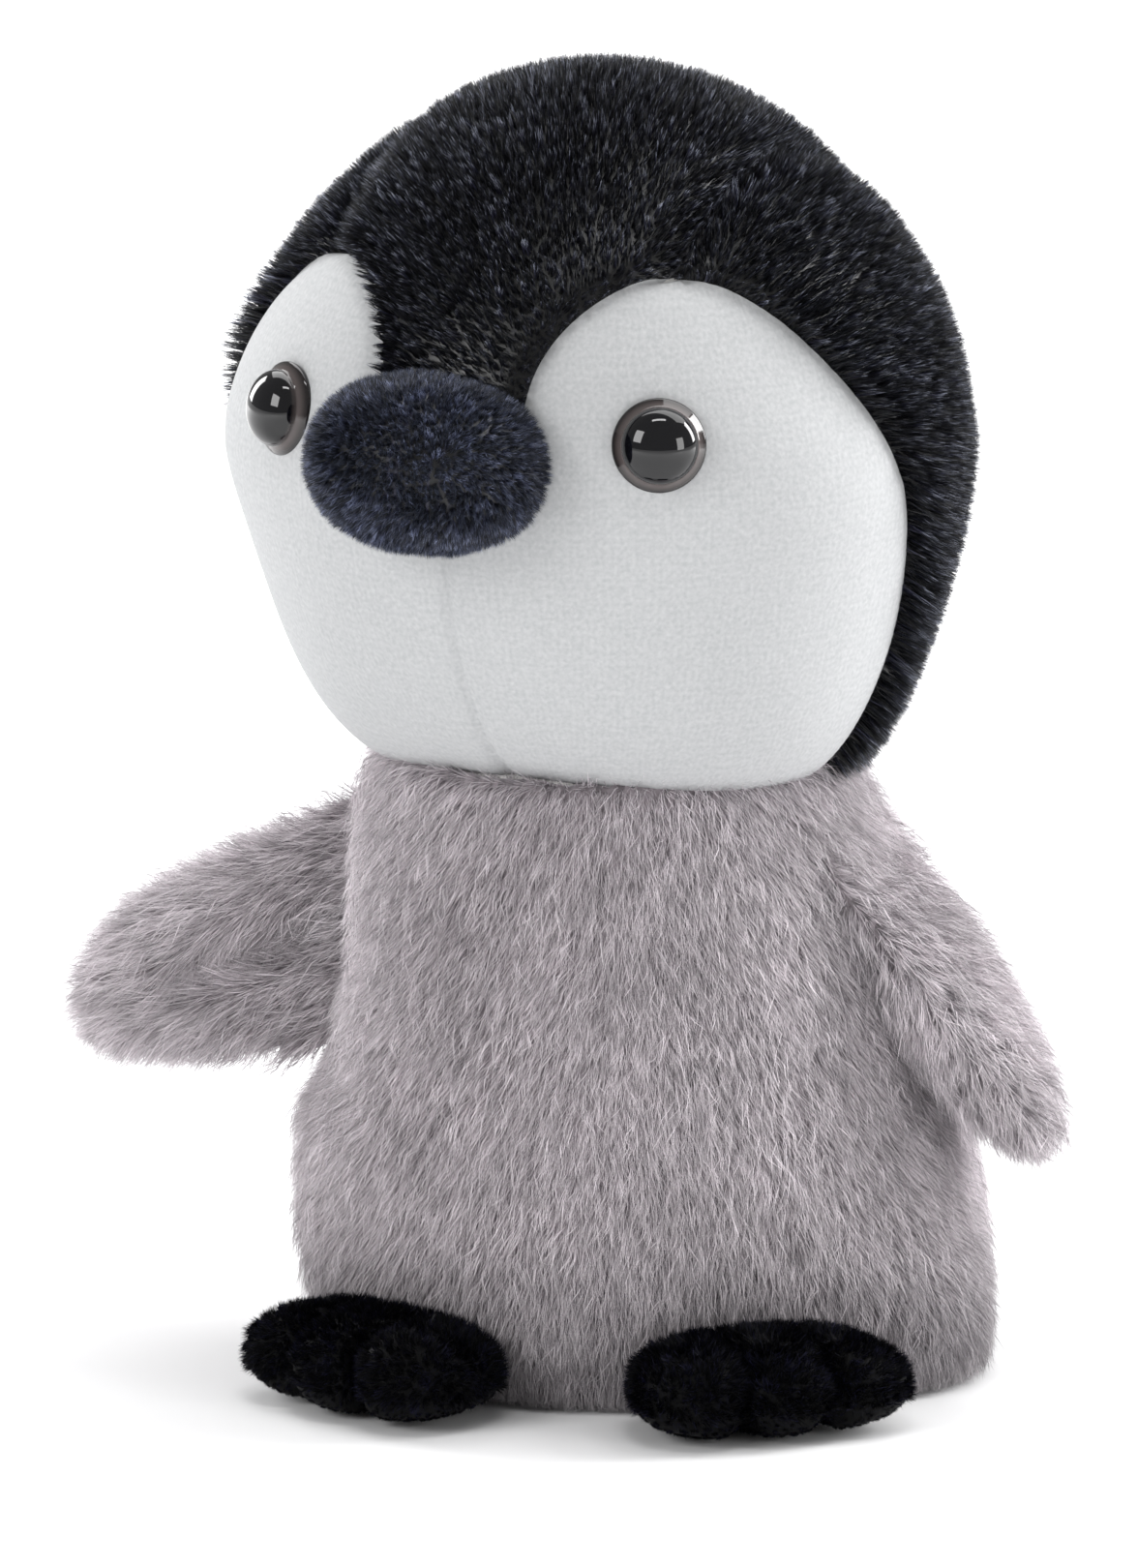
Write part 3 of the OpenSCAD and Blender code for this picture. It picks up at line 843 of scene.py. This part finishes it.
# Painted glints: the pale blue tip colour, and the few fibres raised up to 9 times in tone, paint sparkle on
# the dark beak pile.
beak_blacks_and_glints = (0.002, 0.002, 0.005), (0.013, 0.0148, 0.026), (0.056, 0.064, 0.096)
beak_plush = plush(
    "dark_beak_pile", beak_blacks_and_glints, (0.28, 9.0), 0.14, (0.62, 0.75, 1.0), 0.45, 4.0, gloss=0.5, turn=0.6
)
beak = to_head(snip(*beak_skin(ball_mid), out_of_head))
beak_pile = grow_pile(
    beak, lambda p: drift(p, 0.004, 95) + [0, 0, -0.4], 96, 60, 0.0018, 0.00017, 24, 0.85, 1.9, 0.9, joints=1
)
sew("beak_cover", "head", beak, beak_plush, head_middle, [beak_pile])
beak_stuffing = to_head(snip(*beak_skin(ball_low, 0.0012), out_of_head))
sew("beak_filling", "head", beak_stuffing, wadding, head_middle)

# ---- Eyes ----
# Moulded plastic eyes: a glossy black dome in a dark grey-brown bevelled rim, with a post
# that passes through the face cloth to a lock washer inside the head.


def eye_finish():
    """Polished plastic: black dome, grey-brown rim, split by distance from the eye's middle; the rim's
    lighter band is its brown tint with a painted refraction of the bright surroundings.
    """
    surface = {"Roughness": 0.04, "IOR": 1.5, "Coat Weight": 0.15, "Coat Roughness": 0.02}
    finish, tree, shader = new_finish("polished_eye", surface)
    rim = add_node(tree, "Attribute", {}, attribute_name="rim")["Fac"]
    # The band peaking at 0.83 is partly the rim's own tint and partly painted refraction of the light room
    # through the clear edge.
    stops = [(0.79, (0.003, 0.003, 0.004)), (0.83, (0.085, 0.07, 0.068)), (0.99, (0.012, 0.01, 0.01))]
    tree.links.new(colour_run(tree, rim, stops, "EASE"), shader.inputs["Base Color"])
    return finish


eye_plastic = eye_finish()
washer_plastic = woven_finish("moulded_washer", (0.7, 0.7, 0.68), (0.82, 0.82, 0.8), 300)
eye_r = 0.0053
post_r = 0.0017
bevel = 0.0052
dome_r = eye_r * 0.815
dome_h = 0.0029
skirt_h = 0.00055
edge_h = skirt_h + (0.995 - 0.815) * bevel
ring_count = 72


def eye_outline():
    """Half of the eye in profile, from the end of the post round the rim to the top of the dome."""
    post = [(post_r * 0.55, -0.009), (post_r, -0.0084), (post_r, -0.0001)]
    rim = [(eye_r * 0.985, -0.0001), (eye_r, 0.0002), (eye_r * 0.995, skirt_h)]
    rim += [(eye_r * s, skirt_h + (0.995 - s) * bevel) for s in (0.97, 0.93, 0.89, 0.85, 0.82)]
    arc = np.linspace(0.02, 1, 26)[:-1] * math.pi / 2
    return post + rim + [(dome_r * math.cos(a), edge_h + dome_h * math.sin(a)) for a in arc]


def mould_eye(side):
    """Turns one eye on its own axis, with its post on the axis of its lock washer."""
    washer_low, washer_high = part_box("eye_washer_" + side)
    inside = np.array(washer_low + washer_high) / 2
    tilt = math.radians(11)
    level_out = unit((inside - head_middle)[:2])
    out = unit(np.array([*level_out * math.cos(tilt), math.sin(tilt)]))
    right = unit(np.cross([0, 0, 1.0], out))
    above = np.cross(out, right)
    post_seat = inside + out * 0.0031
    inward = -right * (1 if side == "left" else -1)
    seat = post_seat + inward * 0.0007 - above * 0.0012 - out * 0.0002
    out = unit(out - head_turn[1] * 0.2)
    right = unit(np.cross([0, 0, 1.0], out))
    above = np.cross(out, right)
    bm = bmesh.new()
    rings = []
    for r, h in eye_outline():
        middle = post_seat if h < -0.0002 and r <= post_r else seat
        ring = []
        for k in range(ring_count):
            a = 2 * math.pi * k / ring_count
            place = middle + right * (r * math.cos(a)) + above * (r * math.sin(a)) + out * h
            ring.append(bm.verts.new(place))
        rings.append(ring)
    for low_ring, high_ring in zip(rings, rings[1:]):
        for k in range(ring_count):
            n = (k + 1) % ring_count
            bm.faces.new([low_ring[k], low_ring[n], high_ring[n], high_ring[k]])
    bm.faces.new(list(reversed(rings[0])))
    bm.faces.new(rings[-1])
    mesh = bpy.data.meshes.new("eye_" + side)
    bm.to_mesh(mesh)
    bm.free()
    mesh.polygons.foreach_set("use_smooth", np.ones(len(mesh.polygons), bool))
    places = np.array([v.co[:] for v in mesh.vertices]) - seat
    level = np.linalg.norm(places - np.outer(places @ out, out), axis=1) / eye_r
    level = np.where(places @ out < -0.0003, 0.5, level)
    rim = mesh.attributes.new("rim", "FLOAT", "POINT")
    rim.data.foreach_set("value", level.astype(np.float32))
    mesh.materials.append(eye_plastic)
    eye = bpy.data.objects.new(f"eye_{side}_moulded", mesh)
    bpy.context.scene.collection.objects.link(eye)
    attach(eye, "head")
    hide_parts("eye_" + side)
    washer = frame["nodes"]["eye_washer_" + side]
    washer.data.materials.clear()
    washer.data.materials.append(washer_plastic)


mould_eye("left")
mould_eye("right")

# ---- Setting ----
# A wide white floor that grows brighter away from the toy, soft lights and a long lens.

bm = bmesh.new()
floor_r = 9
bm.faces.new([
    bm.verts.new((floor_r * math.cos(k * math.pi / 32), floor_r * math.sin(k * math.pi / 32), 0))
    for k in range(64)
])
mesh = bpy.data.meshes.new("paper_floor")
bm.to_mesh(mesh)
bm.free()
surface = {"Base Color": (0.9, 0.9, 0.905, 1), "Roughness": 0.9, "Emission Color": (1, 1, 1, 1)}
paper, tree, shader = new_finish("white_paper", surface)
place = add_node(tree, "TexCoord", {})["Object"]
away = add_node(tree, "VectorMath", {0: place}, operation="LENGTH")["Value"]
feeds = {"Value": away, "From Min": 0.12, "From Max": 0.8, "To Max": 0.75}
glow = add_node(tree, "MapRange", feeds, interpolation_type="SMOOTHSTEP")["Result"]
tree.links.new(glow, shader.inputs["Emission Strength"])
mesh.materials.append(paper)
floor = bpy.data.objects.new("paper_floor", mesh)
bpy.context.scene.collection.objects.link(floor)


def soft_light(name, place, aim, size, power):
    """A rectangular lamp at place that faces aim."""
    lamp = bpy.data.lights.new(name, "AREA")
    lamp.shape = "RECTANGLE"
    lamp.size, lamp.size_y = size
    lamp.energy = power
    holder = bpy.data.objects.new(name, lamp)
    holder.location = place
    holder.rotation_euler = (Vector(aim) - Vector(place)).to_track_quat("-Z", "Y").to_euler()
    bpy.context.scene.collection.objects.link(holder)


soft_light("window_left", (-0.75, -1.0, 0.7), (0, 0, 0.08), (0.6, 0.6), 7.8)
soft_light("window_right", (1.0, -0.5, 0.3), (0, 0, 0.08), (0.35, 0.45), 2.6)
soft_light("top", (0.1, 0.5, 0.95), (0, 0, 0.05), (1.6, 0.8), 13)
soft_light("strip", (0.1, -0.3, 1.0), (0, 0, 0.05), (0.45, 0.1), 1.6)
soft_light("rim_right", (0.8, 0.45, 0.45), (0, 0, 0.09), (0.3, 0.6), 8.5)
soft_light("rim_left", (-0.85, 0.45, 0.4), (0, 0, 0.07), (0.3, 0.6), 5.5)
world = bpy.data.worlds.new("studio")
bpy.context.scene.world = world
world.use_nodes = True
world.node_tree.nodes["Background"].inputs["Color"].default_value = (1, 1, 1, 1)
world.node_tree.nodes["Background"].inputs["Strength"].default_value = 0.3
bpy.context.scene.view_settings.view_transform = "Standard"

azimuth = math.radians(14)
elevation = math.radians(12)
distance = 3.0
tall = 0.1782
back = Vector((
    math.sin(azimuth) * math.cos(elevation),
    -math.cos(azimuth) * math.cos(elevation),
    math.sin(elevation),
))
right = Vector((math.cos(azimuth), math.sin(azimuth), 0))
above = back.cross(right)
aim = right * -0.0089 + above * 0.0632
lens = bpy.data.cameras.new("camera")
lens.sensor_width = 36
lens.lens = 36 * distance / tall
camera = bpy.data.objects.new("camera", lens)
camera.location = aim + back * distance
camera.rotation_mode = "QUATERNION"
camera.rotation_quaternion = (-back).to_track_quat("-Z", "Y")
bpy.context.scene.collection.objects.link(camera)
bpy.context.scene.camera = camera
